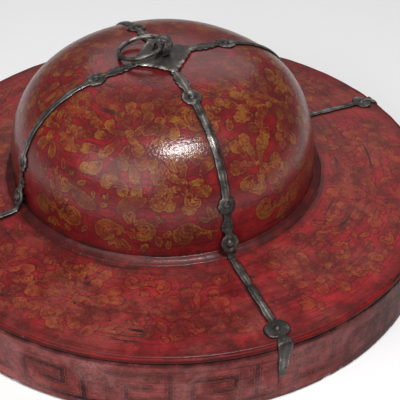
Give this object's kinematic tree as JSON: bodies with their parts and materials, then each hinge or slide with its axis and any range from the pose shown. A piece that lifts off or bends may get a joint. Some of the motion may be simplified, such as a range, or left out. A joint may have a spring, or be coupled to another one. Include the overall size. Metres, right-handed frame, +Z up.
{
  "type": "lacquered brimmed hat",
  "caption": "Rigid lacquered hat: domed crown, wide brim with a deep turned-down rim, forged iron straps with rosettes and a hanging ring at the apex, padded headband inside.",
  "frame": {"origin": "centre of the circle on which the rim rests, at the object's base", "axes": "+Z up through the crown, +X along the right strap, -Y towards the front strap's side; the crown stands 5 mm off the rim's centre"},
  "size_m": [0.3848, 0.3831, 0.1582],
  "materials": {
    "crown_lacquer": "worn dark red lacquer over moulded rawhide, painted with ochre-gold peony scrolls",
    "brim_lacquer": "worn red lacquer over rawhide, painted with faded ochre scrolls",
    "rim_lacquer": "dark red lacquer over rawhide, painted with a brown-ochre key fret",
    "bead_lacquer": "red lacquer, worn through along its crest",
    "cane": "split cane, unvarnished",
    "lining_cloth": "plain woven cotton, old gold",
    "pad_cloth": "coarse dark red cloth over wadding",
    "sweat_leather": "brown sweatband leather, stitched",
    "forged_iron": "hand-forged wrought iron, dark and pitted, worn bright on the ridges",
    "ring_iron": "hand-forged iron wire, rubbed smooth",
    "rivet_iron": "hand-domed iron rivets, worn bright on top",
    "hidden_iron": "rough iron washers, lightly rusted"
  },
  "bodies": {
    "hat": {"crown_shell": "crown_lacquer", "brim_plate": "brim_lacquer", "rim_wall": "rim_lacquer", "rim_edge_bead": "bead_lacquer", "crown_foot_bead": "bead_lacquer", "fitting_hoop": "cane", "crown_lining": "lining_cloth", "headband_pad": "pad_cloth", "sweatband": "sweat_leather", "apex_plate": "forged_iron", "ring_eye": "forged_iron", "eye_washer": "hidden_iron", "crown_strap_right": "forged_iron", "crown_strap_rear": "forged_iron", "crown_strap_left": "forged_iron", "crown_strap_front": "forged_iron", "brim_strap_right": "forged_iron", "brim_strap_rear": "forged_iron", "brim_strap_left": "forged_iron", "brim_strap_front": "forged_iron", "upper_rosette_rivets": "rivet_iron", "lower_rosette_rivets": "rivet_iron", "crown_foot_rivets": "rivet_iron", "trefoil_rivets": "rivet_iron", "tab_nails": "rivet_iron", "crown_rivet_washers": "hidden_iron", "brim_rivet_washers": "hidden_iron"},
    "ring": {"hanging_ring": "ring_iron"}
  },
  "joints": [
    {"name": "ring_swing", "type": "hinge", "parent": "hat", "child": "ring", "pos_m": [-0.003, 0.004, 0.1514], "axis": [0.6428, 0.766, 0], "range_deg": [0, 154]}
  ]
}
